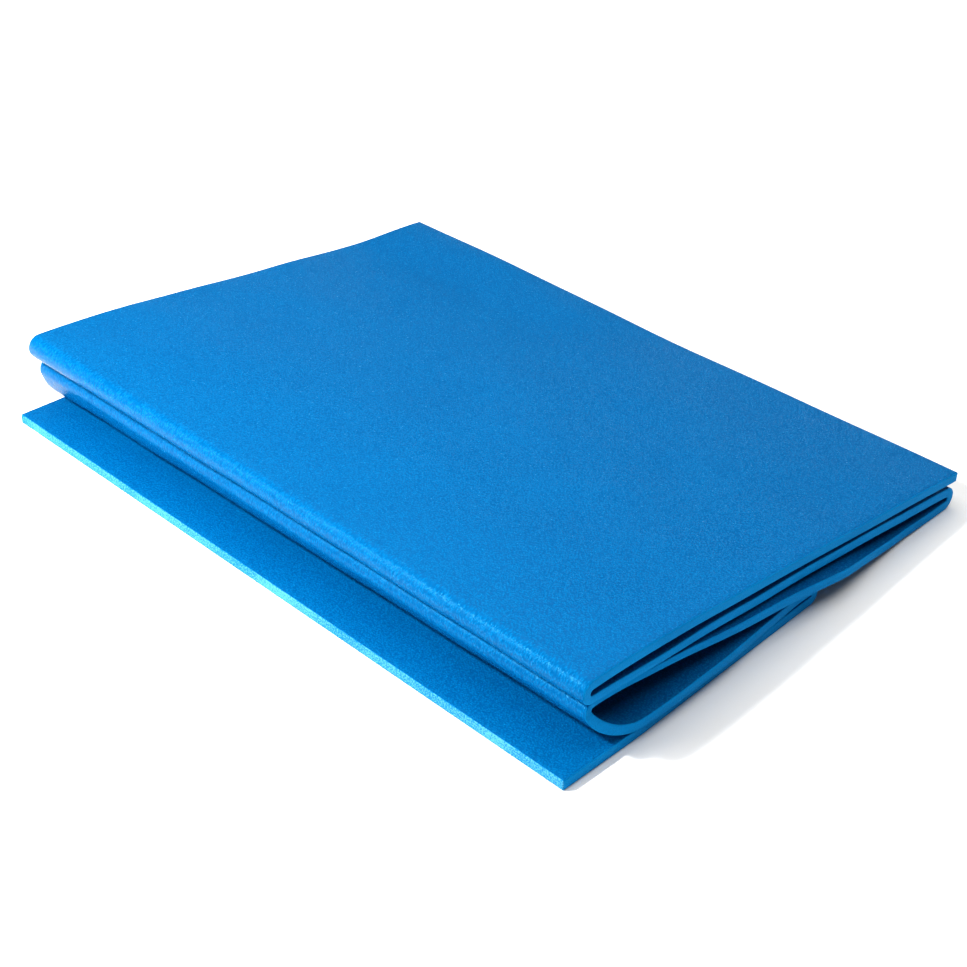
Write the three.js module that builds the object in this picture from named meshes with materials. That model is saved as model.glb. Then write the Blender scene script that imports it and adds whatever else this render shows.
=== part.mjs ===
// Folding gym mat: one plain foam sheet, folded zig-zag into five layers and laid on a floor.
// Millimetres, +Z up. X runs across the folds, Y along them, Z=0 is the floor.
// The sheet is followed along its centre line from the free edge on the floor to the free edge on top.
// Headings are degrees in the XZ plane: 0 points along +X, 90 points up.

import * as THREE from 'three';

// ---- driving dimensions ---------------------------------------------------------------

const WIDTH = 600;                 // length of every fold, along Y
const THICKNESS = 8;               // foam thickness
const JOIN_GAP = 0.3;              // clearance between one piece of the sheet and the next
const LAYER_GAP = 0.3;             // clearance between layers that rest on each other

const PANEL_5_LENGTH = 266;         // bottom panel: free edge to fold 4
const FOLD_4_RADIUS = (THICKNESS + LAYER_GAP) / 2;

const BULGE_RADIUS = 43;           // soft curl by which panel 4 climbs to the crease of fold 3
const BULGE_SWEEP = 60;
const CREASE_RADIUS = 4.4;         // sharp crease of fold 3
const PANEL_4_LENGTH = 196;        // flat stretch of panel 4, fold 4 to the curl

const PANEL_3_HEADING = -4.95;     // panel 3 leans down to the right over fold 4
const PANEL_3_LEAN = 235;          // its straight stretch
const PANEL_3_SAG = 50;            // then it bends down past fold 4, and flattens out on the floor
const PANEL_3_SAG_HEADING = -9.8;
const PANEL_3_REST = 7;            // its last stretch lies flat on the floor, up to fold 2

const FOLD_2_RADIUS = 5.4;
const PANEL_2_START_HEADING = 173.9;
const PANEL_2_END_HEADING = 176.6;
const PANEL_2_LENGTH = 409;

const FOLD_1_RADIUS = 6;
const PANEL_1_ARCH = 105;          // panel 1 leaves fold 1 level and arches over
const PANEL_1_HEADING = -5.6;
const PANEL_1_LENGTH = 421;

const ARC_STEP = 7.5;              // degrees of heading per facet in the folds
const CURVE_STEP = 0.8;            // degrees of heading per facet in the panels

const FOAM = { color: 0x0a72c8, roughness: 0.62, metalness: 0 };
const FOLD_FOAM = { color: 0x1583dc, roughness: 0.5, metalness: 0 };

// ---- centre line -----------------------------------------------------------------------

const radians = THREE.MathUtils.degToRad;

// One pen walks the whole centre line and keeps its place and heading between pieces.
const pen = { x: 0, z: THICKNESS / 2, heading: 0 };

function walkStraight(length) {
  pen.x += length * Math.cos(radians(pen.heading));
  pen.z += length * Math.sin(radians(pen.heading));
  return [{ ...pen }];
}

// Turns to a new heading on a circular arc and returns the points it passes.
function walkArc(length, newHeading, step) {
  const turn = newHeading - pen.heading;
  const count = Math.max(1, Math.ceil(Math.abs(turn) / step));
  const radius = length / radians(turn);
  const start = { ...pen };
  const points = [];
  for (let i = 1; i <= count; i += 1) {
    const heading = start.heading + (turn * i) / count;
    pen.x = start.x + radius * (Math.sin(radians(heading)) - Math.sin(radians(start.heading)));
    pen.z = start.z - radius * (Math.cos(radians(heading)) - Math.cos(radians(start.heading)));
    pen.heading = heading;
    points.push({ ...pen });
  }
  return points;
}

function walkFold(radius, newHeading) {
  const sweep = Math.abs(radians(newHeading - pen.heading));
  return walkArc(radius * sweep, newHeading, ARC_STEP);
}

// Flattens out on one arc that ends level, at the given height.
function walkLanding(height) {
  const slope = radians(-pen.heading);
  const length = ((pen.z - height) * slope) / (1 - Math.cos(slope));
  return walkArc(length, 0, CURVE_STEP);
}

// Each piece is the list of centre-line points that its stretch of the sheet passes.
function walkPiece(...moves) {
  const points = [{ ...pen }];
  for (const move of moves) {
    points.push(...move());
  }
  return points;
}

// ---- solids ------------------------------------------------------------------------------

function offset(point, distance) {
  const angle = radians(point.heading + 90);
  return new THREE.Vector2(point.x + distance * Math.cos(angle), point.z + distance * Math.sin(angle));
}

function slide(point, distance) {
  const angle = radians(point.heading);
  return {
    x: point.x + distance * Math.cos(angle),
    z: point.z + distance * Math.sin(angle),
    heading: point.heading,
  };
}

// A piece of sheet: its outline is the centre line offset by half the thickness to each side.
function sheetSolid(name, points, finish) {
  const line = points.map((point) => ({ ...point }));
  line[0] = slide(line[0], JOIN_GAP / 2);
  line[line.length - 1] = slide(line[line.length - 1], -JOIN_GAP / 2);
  const upper = line.map((point) => offset(point, THICKNESS / 2));
  const lower = line.map((point) => offset(point, -THICKNESS / 2));
  const outline = new THREE.Shape([...lower, ...upper.reverse()]);
  const geometry = new THREE.ExtrudeGeometry(outline, { depth: WIDTH, bevelEnabled: false, steps: 1 });
  geometry.rotateX(Math.PI / 2);
  geometry.translate(0, WIDTH / 2, 0);
  const mesh = new THREE.Mesh(geometry, new THREE.MeshStandardMaterial(finish));
  mesh.name = name;
  return mesh;
}

// ---- the folded sheet, from the floor upwards -------------------------------------------

const panel5 = walkPiece(() => walkStraight(PANEL_5_LENGTH));
const fold4 = walkPiece(() => walkFold(FOLD_4_RADIUS, 180));
const panel4 = walkPiece(() => walkStraight(PANEL_4_LENGTH));
const fold3 = walkPiece(
  () => walkFold(BULGE_RADIUS, 180 - BULGE_SWEEP),
  () => walkFold(CREASE_RADIUS, PANEL_3_HEADING),
);
const panel3 = walkPiece(
  () => walkStraight(PANEL_3_LEAN),
  () => walkArc(PANEL_3_SAG, PANEL_3_SAG_HEADING, CURVE_STEP),
  () => walkLanding(THICKNESS / 2),
  () => walkStraight(PANEL_3_REST),
);
const fold2 = walkPiece(() => walkFold(FOLD_2_RADIUS, PANEL_2_START_HEADING));
const panel2 = walkPiece(() => walkArc(PANEL_2_LENGTH, PANEL_2_END_HEADING, CURVE_STEP));
const fold1 = walkPiece(() => walkFold(FOLD_1_RADIUS, 0));
const panel1 = walkPiece(
  () => walkArc(PANEL_1_ARCH, PANEL_1_HEADING, CURVE_STEP),
  () => walkStraight(PANEL_1_LENGTH - PANEL_1_ARCH),
);

const mat = new THREE.Group();
mat.add(
  sheetSolid('panel_5', panel5, FOAM),
  sheetSolid('fold_4', fold4, FOLD_FOAM),
  sheetSolid('panel_4', panel4, FOAM),
  sheetSolid('fold_3', fold3, FOLD_FOAM),
  sheetSolid('panel_3', panel3, FOAM),
  sheetSolid('fold_2', fold2, FOLD_FOAM),
  sheetSolid('panel_2', panel2, FOAM),
  sheetSolid('fold_1', fold1, FOLD_FOAM),
  sheetSolid('panel_1', panel1, FOAM),
);

// The origin is on the floor, in the middle of the footprint.
const footprint = new THREE.Box3().setFromObject(mat);
mat.position.x = -(footprint.min.x + footprint.max.x) / 2;

export default mat;
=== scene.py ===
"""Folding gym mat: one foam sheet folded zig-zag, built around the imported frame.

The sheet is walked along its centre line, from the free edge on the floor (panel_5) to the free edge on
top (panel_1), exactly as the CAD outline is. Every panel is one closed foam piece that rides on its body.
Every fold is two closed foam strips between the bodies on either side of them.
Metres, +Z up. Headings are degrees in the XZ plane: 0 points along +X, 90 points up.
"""
import math

import bpy
import numpy as np
from mathutils import Matrix, Vector


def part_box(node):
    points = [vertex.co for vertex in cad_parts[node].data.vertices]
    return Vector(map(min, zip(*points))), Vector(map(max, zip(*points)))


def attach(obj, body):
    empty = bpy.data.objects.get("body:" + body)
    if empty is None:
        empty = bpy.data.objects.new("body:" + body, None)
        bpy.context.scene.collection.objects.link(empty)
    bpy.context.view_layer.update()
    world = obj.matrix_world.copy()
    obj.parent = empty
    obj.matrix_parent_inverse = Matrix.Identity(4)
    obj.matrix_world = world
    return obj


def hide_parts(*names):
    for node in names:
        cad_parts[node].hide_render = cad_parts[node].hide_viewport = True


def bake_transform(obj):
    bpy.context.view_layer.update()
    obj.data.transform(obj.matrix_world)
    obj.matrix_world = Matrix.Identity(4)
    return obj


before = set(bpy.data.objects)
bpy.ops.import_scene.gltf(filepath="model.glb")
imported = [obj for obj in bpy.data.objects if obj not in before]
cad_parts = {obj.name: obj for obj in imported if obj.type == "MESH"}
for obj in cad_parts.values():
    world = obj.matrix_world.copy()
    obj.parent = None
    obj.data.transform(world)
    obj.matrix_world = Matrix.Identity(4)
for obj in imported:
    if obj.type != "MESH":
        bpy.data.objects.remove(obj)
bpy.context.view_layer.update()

MM = 0.001

# ---- the sheet, as the CAD walks it -------------------------------------------------------

PANEL_5_LOW, PANEL_5_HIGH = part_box("panel_5")
THICKNESS = PANEL_5_HIGH.z - PANEL_5_LOW.z
HALF = THICKNESS / 2
WIDTH = PANEL_5_HIGH.y - PANEL_5_LOW.y
JOIN_GAP = 0.3 * MM
LAYER_GAP = 0.3 * MM

RIGHT, UP, LEFT = 0, 90, 180       # headings
PANEL_5_LENGTH = 266 * MM
FOLD_4_RADIUS = (THICKNESS + LAYER_GAP) / 2
PANEL_4_LENGTH = 196 * MM
BULGE_RADIUS = 43 * MM
BULGE_SWEEP = 60                   # degrees
CREASE_RADIUS = 4.4 * MM
PANEL_3_HEADING = -4.95
PANEL_3_LEAN = 235 * MM
PANEL_3_SAG = 50 * MM
PANEL_3_SAG_HEADING = -9.8
PANEL_3_REST = 7 * MM
FOLD_2_RADIUS = 5.4 * MM
PANEL_2_START_HEADING = 173.9
PANEL_2_END_HEADING = 176.6
PANEL_2_LENGTH = 409 * MM
FOLD_1_RADIUS = 6 * MM
PANEL_1_ARCH = 105 * MM
PANEL_1_HEADING = -5.6
PANEL_1_STRAIGHT = 316 * MM


def straight(length):
    """A move that keeps its heading."""
    return lambda heading, z: (length, heading)


def bend(length, new_heading):
    """A move on a circular arc of a given length, to a new heading."""
    return lambda heading, z: (length, new_heading)


def fold(radius, new_heading):
    """A move on a circular arc of a given radius, to a new heading."""
    return lambda heading, z: (radius * abs(math.radians(new_heading - heading)), new_heading)


def landing(height):
    """A move on the arc that ends level at a given height."""
    def move(heading, z):
        slope = math.radians(-heading)
        return (z - height) * slope / (1 - math.cos(slope)), RIGHT
    return move


# Piece, the bodies it joins, and its moves. A panel names its own body twice.
WALK = [
    ("panel_5", "panel_5", "panel_5", [straight(PANEL_5_LENGTH)]),
    ("fold_4_lower", "panel_5", "fold_4", [fold(FOLD_4_RADIUS, UP)]),
    ("fold_4_upper", "fold_4", "panel_4", [fold(FOLD_4_RADIUS, LEFT)]),
    ("panel_4", "panel_4", "panel_4", [straight(PANEL_4_LENGTH)]),
    ("fold_3_curl", "panel_4", "fold_3", [fold(BULGE_RADIUS, LEFT - BULGE_SWEEP)]),
    ("fold_3_crease", "fold_3", "panel_3", [fold(CREASE_RADIUS, PANEL_3_HEADING)]),
    ("panel_3", "panel_3", "panel_3",
     [straight(PANEL_3_LEAN), bend(PANEL_3_SAG, PANEL_3_SAG_HEADING), landing(HALF), straight(PANEL_3_REST)]),
    ("fold_2_lower", "panel_3", "fold_2", [fold(FOLD_2_RADIUS, PANEL_2_START_HEADING / 2)]),
    ("fold_2_upper", "fold_2", "panel_2", [fold(FOLD_2_RADIUS, PANEL_2_START_HEADING)]),
    ("panel_2", "panel_2", "panel_2", [bend(PANEL_2_LENGTH, PANEL_2_END_HEADING)]),
    ("fold_1_lower", "panel_2", "fold_1", [fold(FOLD_1_RADIUS, PANEL_2_END_HEADING / 2)]),
    ("fold_1_upper", "fold_1", "panel_1", [fold(FOLD_1_RADIUS, RIGHT)]),
    ("panel_1", "panel_1", "panel_1", [bend(PANEL_1_ARCH, PANEL_1_HEADING), straight(PANEL_1_STRAIGHT)]),
]

RING_STEP = 6 * MM                 # the most sheet between two rings
RING_TURN = 3                      # the most degrees of heading between two rings
GUARD = 0.02                       # an extra ring this share of a step from each end keeps seams smooth


class Walk:
    """Where the pen is: how far along the sheet, where in XZ, and its heading."""

    def __init__(self):
        self.s = 0.0
        self.x = PANEL_5_LOW.x - JOIN_GAP / 2
        self.z = HALF
        self.heading = 0.0

    def ring(self):
        return (self.s, self.x, self.z, math.radians(self.heading))

    def after(self, length, turn):
        """The ring that lies a length further on, the heading having turned evenly by turn degrees."""
        a = math.radians(self.heading)
        b = math.radians(self.heading + turn)
        if turn == 0:
            return (self.s + length, self.x + length * math.cos(a), self.z + length * math.sin(a), a)
        radius = length / (b - a)
        x = self.x + radius * (math.sin(b) - math.sin(a))
        z = self.z - radius * (math.cos(b) - math.cos(a))
        return (self.s + length, x, z, b)

    def move(self, length, new_heading):
        turn = new_heading - self.heading
        count = max(2, math.ceil(length / RING_STEP), math.ceil(abs(turn) / RING_TURN))
        shares = [GUARD / count, *(i / count for i in range(1, count)), 1 - GUARD / count, 1]
        rings = [self.after(length * share, turn * share) for share in shares]
        self.s, self.x, self.z = rings[-1][:3]
        self.heading = new_heading
        return rings


def walk_sheet():
    """Rings of every piece, in order: {piece: array of (s, x, z, heading)}."""
    pen = Walk()
    found = {}
    for name, _, _, moves in WALK:
        rings = [pen.ring()]
        for move in moves:
            rings += pen.move(*move(pen.heading, pen.z))
        found[name] = np.array(rings)
    return found, pen.s


RINGS, SHEET_LENGTH = walk_sheet()

# ---- how the real sheet differs from a perfect one ----------------------------------------


def ease(t):
    t = np.clip(t, 0, 1)
    return t * t * (3 - 2 * t)


def hump(s, rise, top, fall, end):
    """0 up to rise, 1 from top to fall, 0 again from end; stations along the sheet in mm."""
    s = s / MM
    return ease((s - rise) / (top - rise)) * (1 - ease((s - fall) / (end - fall)))


# The layers don't lie exactly on each other. Station along the sheet, and how far that place has crept
# along Y, in mm.
CREEP = [(0, -9), (72, -9), (178, -5), (291, -1), (385, -9), (445, -11), (475, -11), (505, -4), (530, 3),
         (562, 4), (590, 2), (640, -2), (733, -6), (790, -10), (840, -5), (880, -2), (1000, 0)]

# Fold 3 is a tighter, steeper curl at its far end. Station along the sheet, and how far that place is from
# the CAD's at the far end, dx and dz, in mm.
FOLD_3_FAR = [(335, 0, 0), (470, -6, 0), (503, -7, -4), (518, -1, -1.5), (530, 1, -0.5), (565, 0, 0),
              (800, 0, 0)]
SMOOTH_OVER = (-9, -5, 0, 5, 9)    # mm; a table is read at these places around a station, and averaged

# Fold 1 stands out, rides up and is fuller at its far end, and presses down on the layers at its near end.
# All four are small, because the panels turn about the CAD's hinges as the mat opens.
FOLD_1_OUT = -4 * MM
FOLD_1_RISE = 1.5 * MM
FOLD_1_FULLER = 1 * MM
FOLD_1_SINK = 1 * MM
# The stretches of sheet that each of them shapes, as hump() takes them.
OUT_OVER = (1180, 1350, 1385, 1500)
RISE_OVER = (1200, 1350, 1400, 1560)
FULLER_OVER = (1364, 1381, 1385, 1500)
SINK_OVER = (1200, 1340, 1440, 1550)
FAR_END_FROM_Y = -100 * MM         # the far end's shape comes in between these two
FAR_END_TO_Y = 300 * MM

# The far right corner of the top panel lifts a little.
LIFT = 5 * MM
LIFT_OVER = (SHEET_LENGTH / MM - 85, SHEET_LENGTH / MM, 2000, 2001)
LIFT_FROM_Y = -50 * MM
LIFT_TO_Y = 230 * MM

# Folds 3 and 1 press the layers between them together: share of the thickness lost, and where.
PRESSED_AT_FOLD_3 = 0.25
PRESSED_AT_FOLD_1 = 0.2
FOLD_3_PRESSES_OVER = (505, 533, 592, 720)
FOLD_1_PRESSES_OVER = (1200, 1320, 1361, 1376)

# Gentle swells over the sheet, in waves per metre along it and across it, and phase.
rng = np.random.default_rng(7)
SWELLS = [(rng.uniform(5, 14), rng.uniform(-9, 9), rng.uniform(0, 2 * math.pi)) for _ in range(7)]
SWELL_HEIGHT = 0.3 * MM
SWELL_OVER = (475, 515, 2000, 2001)
SWELL_FULL_AT = 8 * MM             # how far above the floor the swells reach their full height


def along(s, table, column):
    """One column of a table of stations along the sheet, smoothed; mm in the table, metres out."""
    stations = [row[0] for row in table]
    values = [row[column] for row in table]
    return sum(np.interp(s / MM + d, stations, values) for d in SMOOTH_OVER) / len(SMOOTH_OVER) * MM


def shift(s, y):
    """How far a place on the sheet is from where the CAD has it: (dx, dy, dz)."""
    far = y / WIDTH + 0.5
    dx = along(s, FOLD_3_FAR, 1) * far
    dz = along(s, FOLD_3_FAR, 2) * far
    far_end = ease((y - FAR_END_FROM_Y) / (FAR_END_TO_Y - FAR_END_FROM_Y))
    dx = dx + FOLD_1_OUT * far_end * hump(s, *OUT_OVER)
    dz = dz + FOLD_1_RISE * far_end * hump(s, *RISE_OVER)
    dz = dz + FOLD_1_FULLER * far_end * hump(s, *FULLER_OVER)
    dz = dz - FOLD_1_SINK * (1 - far_end) * hump(s, *SINK_OVER)
    dz = dz + LIFT * hump(s, *LIFT_OVER) * ease((y - LIFT_FROM_Y) / (LIFT_TO_Y - LIFT_FROM_Y))
    return dx, along(s, CREEP, 1), dz


def squeeze(s):
    """The foam's thickness as a share of what it is free."""
    pressed = PRESSED_AT_FOLD_3 * hump(s, *FOLD_3_PRESSES_OVER)
    return 1 - pressed - PRESSED_AT_FOLD_1 * hump(s, *FOLD_1_PRESSES_OVER)


def swell(s, y, z):
    """Gentle unevenness of the foam, the same on both faces, and none where it lies on the floor."""
    total = sum(np.sin(2 * math.pi * (a * s + b * y) + c) for a, b, c in SWELLS) / math.sqrt(len(SWELLS))
    return SWELL_HEIGHT * total * hump(s, *SWELL_OVER) * ease((z - HALF) / SWELL_FULL_AT)


# ---- meshes ---------------------------------------------------------------------------------

EDGE_RADIUS = 1.0 * MM             # cut edges are slightly rounded
EDGE_STEPS = 3
MOST_INSET = 0.98 * EDGE_RADIUS    # the rounding stops just short of a sharp edge
CLEAR_OF_EDGE = 1.2 * EDGE_RADIUS  # rings nearer a free end than this give way to the rounding
Y_STEP = 7.5 * MM


def cross_section(inset=0.0):
    """Lower half of the sheet's rounded cross-section as (y, n), from -Y to +Y; the upper half mirrors it."""
    half_width = WIDTH / 2 - inset
    half_height = HALF - inset
    radius = EDGE_RADIUS - inset
    turns = [math.radians(90 * i / EDGE_STEPS) for i in range(EDGE_STEPS + 1)]
    corner = [(radius * (1 - math.cos(a)), radius * (1 - math.sin(a))) for a in turns]
    left = [(-half_width + dy, -half_height + dn) for dy, dn in corner]
    right = [(-y, n) for y, n in reversed(left)]
    count = round(WIDTH / Y_STEP)
    low, high = left[-1][0], right[0][0]
    middle = [(low + (high - low) * i / count, -half_height) for i in range(1, count)]
    return np.array(left + middle + right)


def loop_of(section):
    return np.concatenate([section, section[::-1] * (1, -1)])


def rounded_end(ring, outwards):
    """(ring, inset) for each ring that rounds off a free end; outwards is 1 at the sheet's end, else -1."""
    s, x, z, heading = ring
    made = []
    for i in range(1, EDGE_STEPS + 1):
        angle = math.radians(90 * i / EDGE_STEPS)
        step = outwards * (EDGE_RADIUS * math.sin(angle) - EDGE_RADIUS)
        inset = min(EDGE_RADIUS * (1 - math.cos(angle)), MOST_INSET)
        made.append(((s + step, x + step * math.cos(heading), z + step * math.sin(heading), heading), inset))
    return made


def piece_rings(name):
    """(ring, inset) for each cross-section of a piece; only the sheet's two free ends are rounded."""
    rings = [(tuple(r), 0.0) for r in RINGS[name]]
    if name == "panel_5":
        s, x, z, heading = rings[0][0]
        inner = (s + EDGE_RADIUS, x + EDGE_RADIUS, z, heading)
        keep = [r for r in rings if r[0][0] > CLEAR_OF_EDGE]
        rings = [*reversed(rounded_end(rings[0][0], -1)), (inner, 0.0), *keep]
    if name == "panel_1":
        s, x, z, heading = rings[-1][0]
        inner = (s - EDGE_RADIUS, x - EDGE_RADIUS * math.cos(heading), z - EDGE_RADIUS * math.sin(heading),
                 heading)
        keep = [r for r in rings if r[0][0] < SHEET_LENGTH - CLEAR_OF_EDGE]
        rings = [*keep, (inner, 0.0), *rounded_end(rings[-1][0], 1)]
    return rings


def sheet_mesh(name, rings):
    """Builds a piece lying flat, as (s, y, n). Returns it, its vertices' flat places and their rings."""
    loops = [loop_of(cross_section(inset)) for _, inset in rings]
    around = len(loops[0])
    flat = np.concatenate([np.column_stack([np.full(around, ring[0]), loop])
                           for (ring, _), loop in zip(rings, loops)])
    i, j = np.meshgrid(np.arange(len(rings) - 1), np.arange(around), indexing="ij")
    j_next = (j + 1) % around
    near = i * around
    far = near + around
    walls = np.stack([near + j, near + j_next, far + j_next, far + j], -1)
    k = np.arange(around // 2 - 1)
    near_cap = np.stack([k, around - 1 - k, around - 2 - k, k + 1], -1)
    last_ring = (len(rings) - 1) * around
    far_cap = near_cap[:, ::-1] + last_ring
    faces = np.concatenate([walls.reshape(-1, 4), near_cap, far_cap])
    mesh = bpy.data.meshes.new(name)
    mesh.from_pydata(flat.tolist(), [], faces.tolist())
    mesh.update(calc_edges=True)
    mesh.polygons.foreach_set("use_smooth", np.ones(len(faces), bool))
    sharpen_ends(mesh, around, last_ring)
    place = mesh.attributes.new("sheet_place", "FLOAT_VECTOR", "POINT")
    place.data.foreach_set("vector", flat.astype(np.float32).ravel())
    piece = bpy.data.objects.new(name, mesh)
    bpy.context.scene.collection.objects.link(piece)
    return piece, flat, np.repeat([ring for ring, _ in rings], around, axis=0)


def sharpen_ends(mesh, around, last_ring):
    """Edges of both end faces are sharp, so that shading runs on smoothly into the next piece."""
    ends = np.zeros(len(mesh.edges) * 2, np.int32)
    mesh.edges.foreach_get("vertices", ends)
    ends = ends.reshape(-1, 2)
    sharp = (ends < around).all(1) | (ends >= last_ring).all(1)
    mark = mesh.attributes.new("sharp_edge", "BOOLEAN", "EDGE")
    mark.data.foreach_set("value", sharp)


def fold_up(piece, flat, rings):
    """Moves a piece from where it lies flat to its place in the folded mat."""
    s, y, n = flat.T
    _, x, z, heading = rings.T
    out = n * squeeze(s) + swell(s, y, z)
    dx, dy, dz = shift(s, y)
    co = np.column_stack([x - out * np.sin(heading) + dx, y + dy, z + out * np.cos(heading) + dz])
    piece.data.vertices.foreach_set("co", co.astype(np.float32).ravel())
    piece.data.update()


def node_of(name):
    """The CAD node that a piece stands for: fold_3_curl is part of fold_3."""
    return "_".join(name.split("_")[:2])


def build_piece(name, body_a, body_b, material):
    piece, flat, rings = sheet_mesh("foam_" + name, piece_rings(name))
    piece.data.materials.append(material)
    if body_a == body_b:
        fold_up(piece, flat, rings)
        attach(piece, body_a)
    else:
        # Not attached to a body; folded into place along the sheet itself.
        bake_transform(piece)
        fold_up(piece, flat, rings)
    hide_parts(node_of(name))


def check_walk():
    """Stops if the walk has drifted from the CAD's solids."""
    for name, rings in RINGS.items():
        low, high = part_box(node_of(name))
        x, z = rings[:, 1], rings[:, 2]
        outside = max(low.x - x.min(), x.max() - high.x, low.z - z.min(), z.max() - high.z)
        if outside > MM:
            raise SystemExit(f"{name} is walked outside its CAD box")


# ---- material ---------------------------------------------------------------------------------


class Nodes:
    """Short names for building a node tree."""

    def __init__(self, name):
        self.material = bpy.data.materials.new(name)
        self.material.use_nodes = True
        self.tree = self.material.node_tree
        self.tree.nodes.clear()

    def node(self, kind, inputs=(), **settings):
        made = self.tree.nodes.new(kind)
        for key, value in settings.items():
            setattr(made, key, value)
        for socket, value in dict(inputs).items():
            if isinstance(value, bpy.types.NodeSocket):
                self.tree.links.new(value, made.inputs[socket])
            else:
                made.inputs[socket].default_value = value
        return made

    def output(self, shader):
        out = self.node("ShaderNodeOutputMaterial")
        self.tree.links.new(shader.outputs[0], out.inputs[0])

    def voronoi(self, vector, per_metre):
        """Cells about 1 / per_metre across: distance from each cell's middle, and a colour for each cell."""
        return self.node("ShaderNodeTexVoronoi", {"Vector": vector, "Scale": per_metre}, feature="F1").outputs

    def noise(self, vector, per_metre, detail, roughness=0.5):
        inputs = {"Vector": vector, "Scale": per_metre, "Detail": detail, "Roughness": roughness}
        return self.node("ShaderNodeTexNoise", inputs).outputs[0]

    def math(self, operation, a, b=0.0):
        return self.node("ShaderNodeMath", {0: a, 1: b}, operation=operation).outputs[0]

    def sum(self, *terms):
        """Sum of (value, weight) pairs."""
        weighted = [self.math("MULTIPLY", value, weight) for value, weight in terms]
        total = weighted[0]
        for term in weighted[1:]:
            total = self.math("ADD", total, term)
        return total

    def ramp(self, value, low, high, to_low=0.0, to_high=1.0):
        made = self.node("ShaderNodeMapRange", {0: value, 1: low, 2: high, 3: to_low, 4: to_high})
        made.interpolation_type = "SMOOTHSTEP"
        return made.outputs[0]

    def blend(self, share, a, b):
        """a where share is 0, b where it is 1; plain numbers."""
        return self.node("ShaderNodeMix", {0: share, 2: a, 3: b}, data_type="FLOAT").outputs[0]

    def mix(self, share, a, b):
        """As blend, for colours."""
        made = self.node("ShaderNodeMix", data_type="RGBA")
        for socket, value in ((0, share), (6, a), (7, b)):
            if isinstance(value, bpy.types.NodeSocket):
                self.tree.links.new(value, made.inputs[socket])
            else:
                made.inputs[socket].default_value = value
        return made.outputs[2]


SKIN_LOW = (0.0001, 0.092, 0.255, 1)      # painted shade in the valleys of the grain, and the dark end of random tone
SKIN_HIGH = (0.0003, 0.170, 0.410, 1)
SPECK = (0.01, 0.34, 0.66, 1)
CUT_LOW = (0.001, 0.220, 0.560, 1)
CUT_HIGH = (0.001, 0.290, 0.680, 1)
END_LOW = (0.005, 0.180, 0.420, 1)        # the sheet's free ends are paler and less even than its long sides
END_HIGH = (0.100, 0.400, 0.620, 1)

CUT_FROM = 0.9 * MM                # how far in from an edge the look of a cut face starts
CUT_FULL = 0.2 * MM

PEBBLES = 700                      # texture scales, per metre
GRIT = 1300
CRUMBS = 620
MOTTLE = 14
SPECKS = 420
CELLS = 1500
STROKES = 900
CELL_SQUASH = (0.8, 0.8, 1.0)      # cells of a cut face are longer along it than through the thickness

SPECK_SHARE = 0.14                 # of the cells that could hold a speck
BUMP_STRENGTH = 0.7
BUMP_HEIGHT = 0.5 * MM
SKIN_ROUGHNESS = 0.14              # plus up to ROUGHER where the skin is crumbly
ROUGHER = 0.2
CUT_ROUGHNESS = 0.7
SHEEN_BLUE = (0.1, 0.65, 1.0, 1)   # tint of the skin's highlights


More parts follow.
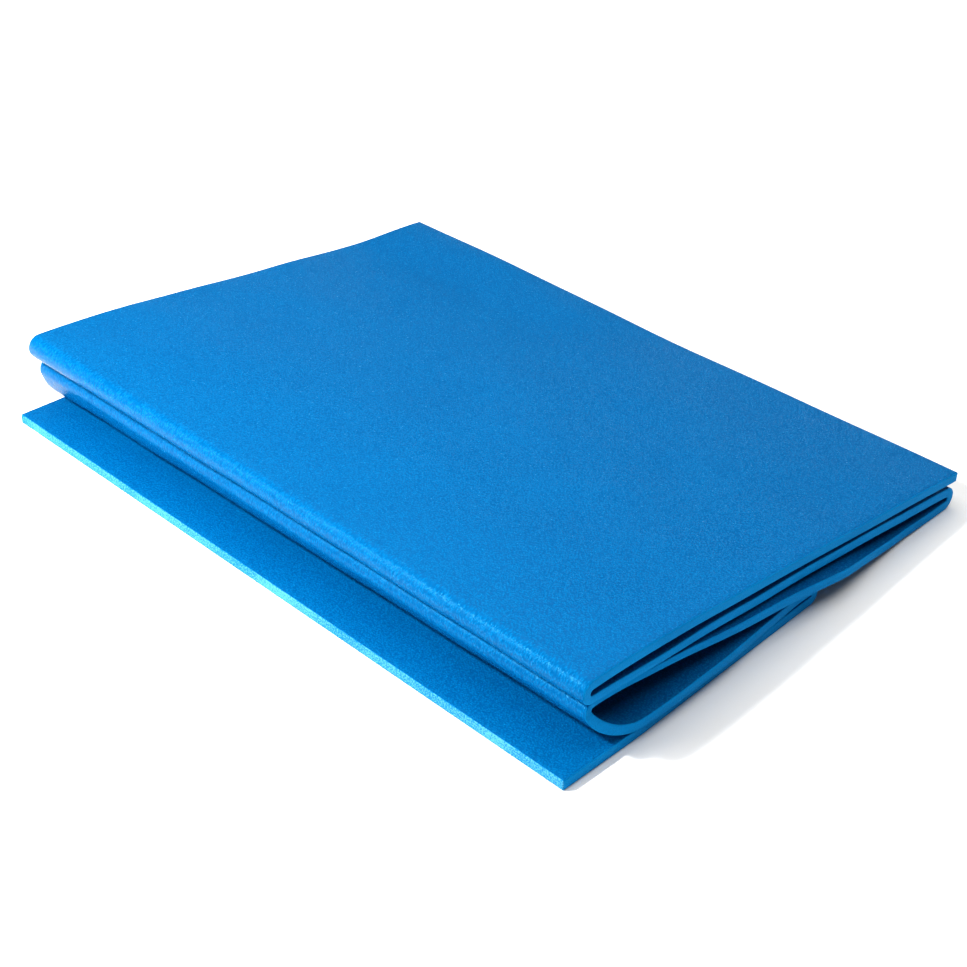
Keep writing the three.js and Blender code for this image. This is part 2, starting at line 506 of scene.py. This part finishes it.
def foam_material():
    n = Nodes("foam")
    place = n.node("ShaderNodeAttribute", attribute_name="sheet_place").outputs["Vector"]

    # Embossed skin: pebbles of one to two millimetres, with grit between them.
    pebble = n.voronoi(place, PEBBLES)
    grit = n.noise(place, GRIT, 2.0, 0.6)
    crumb = n.noise(place, CRUMBS, 3.0, 0.65)
    mottle = n.noise(place, MOTTLE, 3.0)
    dome = n.ramp(pebble["Distance"], 0.05, 0.75, 1.0, 0.0)
    relief = n.sum((dome, 0.55), (grit, 0.25), (crumb, 0.5))

    # Cut faces: where the sheet's own width or length ends.
    axes = n.node("ShaderNodeSeparateXYZ", {0: place})
    across = n.ramp(n.math("ABSOLUTE", axes.outputs[1]), WIDTH / 2 - CUT_FROM, WIDTH / 2 - CUT_FULL)
    start = n.ramp(axes.outputs[0], CUT_FROM, CUT_FULL)
    end = n.ramp(axes.outputs[0], SHEET_LENGTH - CUT_FROM, SHEET_LENGTH - CUT_FULL)
    ends = n.math("MAXIMUM", start, end)
    cut = n.math("MAXIMUM", across, ends)
    stroked = n.node("ShaderNodeVectorMath", {0: place, 1: CELL_SQUASH}, operation="MULTIPLY").outputs[0]
    cells = n.voronoi(stroked, CELLS)
    strokes = n.noise(stroked, STROKES, 3.0)
    cut_relief = n.sum((cells["Distance"], 0.4), (strokes, 0.5))
    height = n.blend(cut, relief, cut_relief)
    bump = n.node("ShaderNodeBump", {"Height": height, "Strength": BUMP_STRENGTH, "Distance": BUMP_HEIGHT})

    # Painted shade: darker skin in the grain's valleys, lighter on the pebble tops; crumb and mottle are
    # random tone.
    valley_shade_and_tone = n.sum((dome, 0.4), (mottle, 0.12), (crumb, 0.65))
    skin = n.mix(n.ramp(valley_shade_and_tone, 0.2, 1.0), SKIN_LOW, SKIN_HIGH)
    # Scattered pale specks in the skin.
    speck = n.voronoi(place, SPECKS)
    draw = n.node("ShaderNodeSeparateColor", {0: speck["Color"]}).outputs[0]
    chosen = n.math("GREATER_THAN", draw, 1 - SPECK_SHARE)
    speck = n.math("MULTIPLY", n.ramp(speck["Distance"], 0.22, 0.05), chosen)
    skin = n.mix(n.math("MULTIPLY", speck, 0.5), skin, SPECK)
    cut_tone = n.sum((strokes, 0.8), (mottle, 0.4))
    side_face = n.mix(n.ramp(cut_tone, 0.35, 0.85), CUT_LOW, CUT_HIGH)
    end_face = n.mix(n.ramp(cut_tone, 0.5, 0.7), END_LOW, END_HIGH)
    colour = n.mix(ends, n.mix(cut, skin, side_face), end_face)
    skin_rough = n.math("ADD", n.math("MULTIPLY", crumb, ROUGHER), SKIN_ROUGHNESS)

    shader = n.node("ShaderNodeBsdfPrincipled", {
        "Base Color": colour,
        "Roughness": n.blend(cut, skin_rough, CUT_ROUGHNESS),
        "Normal": bump.outputs[0],
        "Specular IOR Level": 1.0,
        "Specular Tint": SHEEN_BLUE,
        "IOR": 1.17,
    })
    n.output(shader)
    return n.material


# ---- studio -----------------------------------------------------------------------------------

LENS = 65.6
CAMERA_AT = Vector((PANEL_5_LOW.x - 0.6148, -0.8312, 0.7525))    # placed from the mat's free left edge
CAMERA_YAW = 45.85                 # degrees from +Y towards +X
CAMERA_PITCH = 33.23               # degrees down
CAMERA_ROLL = 1.37
WORLD_LIGHT = 0.13


def make_camera():
    data = bpy.data.cameras.new("camera")
    data.lens = LENS
    data.sensor_width = 36
    data.clip_start = 0.05
    camera = bpy.data.objects.new("camera", data)
    yaw, pitch, roll = (math.radians(a) for a in (CAMERA_YAW, CAMERA_PITCH, CAMERA_ROLL))
    ahead = Vector((math.sin(yaw) * math.cos(pitch), math.cos(yaw) * math.cos(pitch), -math.sin(pitch)))
    right = ahead.cross(Vector((0, 0, 1))).normalized()
    up = right.cross(ahead)
    turned_right = right * math.cos(roll) + up * math.sin(roll)
    turned_up = up * math.cos(roll) - right * math.sin(roll)
    turn = Matrix((turned_right, turned_up, -ahead)).transposed().to_4x4()
    camera.matrix_world = Matrix.Translation(CAMERA_AT) @ turn
    bpy.context.scene.collection.objects.link(camera)
    bpy.context.scene.camera = camera


def area_light(name, at, target, size, watts):
    data = bpy.data.lights.new(name, "AREA")
    data.shape = "DISK"
    data.size = size
    data.energy = watts
    light = bpy.data.objects.new(name, data)
    light.location = at
    light.rotation_euler = (Vector(target) - Vector(at)).to_track_quat("-Z", "Y").to_euler()
    bpy.context.scene.collection.objects.link(light)


def make_studio():
    world = bpy.data.worlds.new("studio")
    world.use_nodes = True
    world.node_tree.nodes["Background"].inputs[0].default_value = (1, 1, 1, 1)
    world.node_tree.nodes["Background"].inputs[1].default_value = WORLD_LIGHT
    bpy.context.scene.world = world
    bpy.context.scene.view_settings.view_transform = "Standard"
    bpy.context.scene.view_settings.look = "Medium High Contrast"
    area_light("overhead", (0.9, 0.4, 2.6), (0.6, 0.4, 0), 4.0, 83)
    # Low, from behind on the left, across the folds.
    area_light("key_back_left", (-1.5, 0.9, 0.95), (0, 0, 0.03), 1.2, 22)
    # A small hard light that glints along the rounded back of fold 1.
    area_light("glint", (-0.95, 0.42, 1.02), (-0.2, -0.2, 0.06), 0.18, 24)


FLOOR_LOW = (0.95, 0.94, 0.92, 1)
FLOOR_HIGH = (0.96, 0.95, 0.93, 1)
FLOOR_MOTTLE = 3                   # per metre
FLOOR_REACH = 12                   # metres each way from the middle
FLOOR_DROP = 0.2 * MM              # the floor lies this far below the mat, so that the two never coincide


def floor_material():
    n = Nodes("floor")
    place = n.node("ShaderNodeTexCoord").outputs["Object"]
    colour = n.mix(n.noise(place, FLOOR_MOTTLE, 2.0), FLOOR_LOW, FLOOR_HIGH)
    n.output(n.node("ShaderNodeBsdfPrincipled", {"Base Color": colour, "Roughness": 0.9}))
    return n.material


def make_floor():
    mesh = bpy.data.meshes.new("floor")
    reach = FLOOR_REACH
    corners = [(-reach, -reach, 0), (reach, -reach, 0), (reach, reach, 0), (-reach, reach, 0)]
    mesh.from_pydata(corners, [], [(0, 1, 2, 3)])
    mesh.materials.append(floor_material())
    floor = bpy.data.objects.new("floor", mesh)
    bpy.context.scene.collection.objects.link(floor)
    floor.location.z = -FLOOR_DROP


# ---- scene ------------------------------------------------------------------------------------

make_camera()
make_studio()
make_floor()
check_walk()
foam = foam_material()
for piece_name, first_body, second_body, _ in WALK:
    build_piece(piece_name, first_body, second_body, foam)
